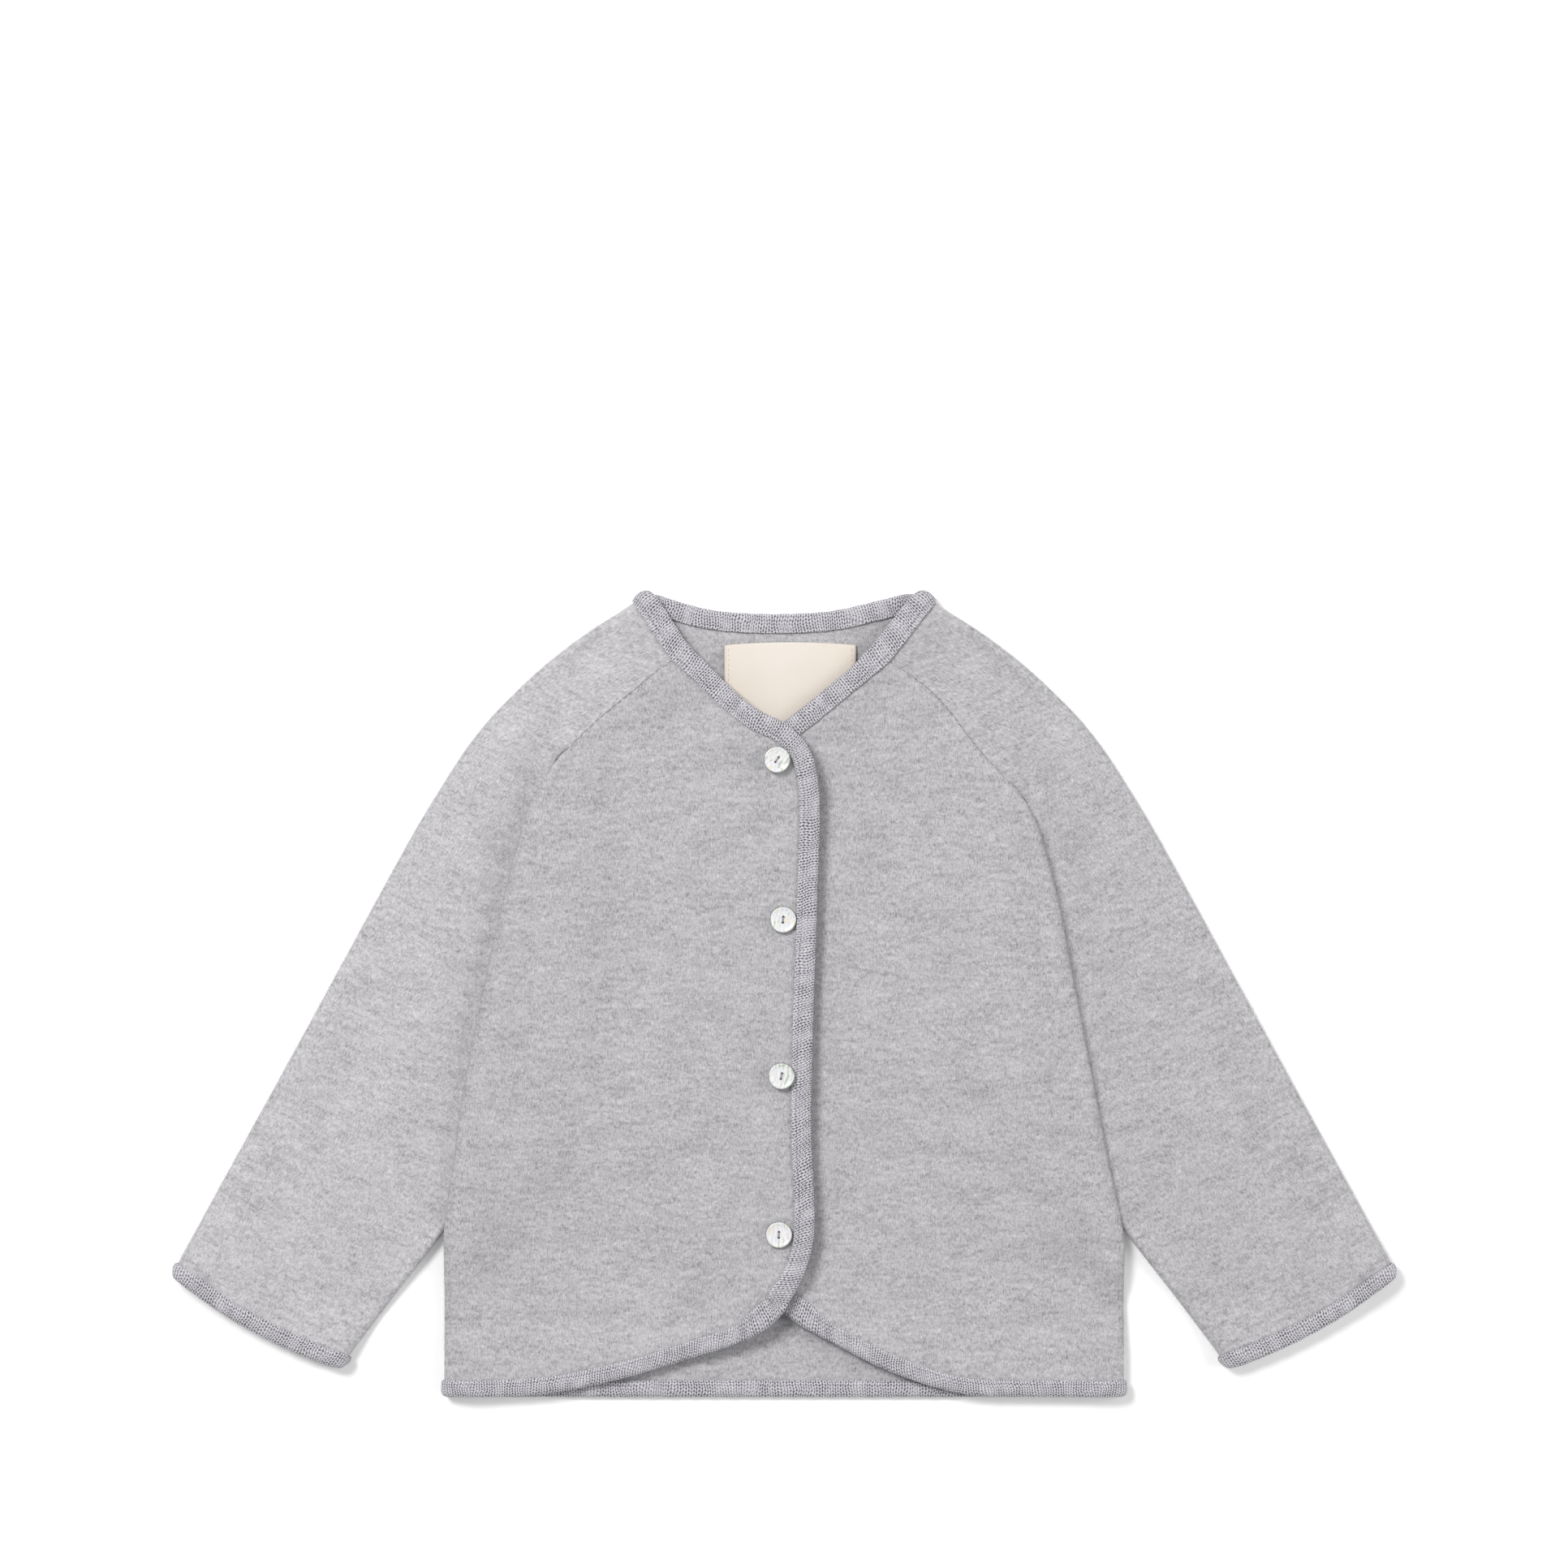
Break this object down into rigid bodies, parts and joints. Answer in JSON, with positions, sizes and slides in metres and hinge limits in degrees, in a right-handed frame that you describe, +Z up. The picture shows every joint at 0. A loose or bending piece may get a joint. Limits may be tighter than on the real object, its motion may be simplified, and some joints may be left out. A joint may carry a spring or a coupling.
{
  "type": "baby cardigan laid flat",
  "caption": "Long-sleeved raglan baby cardigan, buttoned and laid flat, with ribbed knit binding round its curved fronts, neck, hem and cuffs.",
  "frame": {"origin": "middle of the plan on the surface that the back lies on", "axes": "+X to the right of someone looking at the front, +Y towards the neck, +Z up out of the front"},
  "size_m": [0.5282, 0.3483, 0.0161],
  "materials": {
    "grey_jersey": "heathered pale grey brushed jersey with a soft nap",
    "grey_rib_knit": "heathered grey ribbed knit with open stitches",
    "cream_label": "smooth cream woven ribbon",
    "shell_button": "polished pearly shell with faint green and pink tints"
  },
  "bodies": {
    "root": {"back": "grey_jersey", "front_right": "grey_jersey", "front_left": "grey_jersey", "sleeve_right": "grey_jersey", "sleeve_left": "grey_jersey", "binding_front_right": "grey_rib_knit", "binding_front_left": "grey_rib_knit", "binding_back_neck": "grey_rib_knit", "binding_back_hem": "grey_rib_knit", "cuff_binding_right": "grey_rib_knit", "cuff_binding_left": "grey_rib_knit", "label": "cream_label", "button_1": "shell_button", "button_2": "shell_button", "button_3": "shell_button", "button_4": "shell_button"}
  },
  "joints": []
}
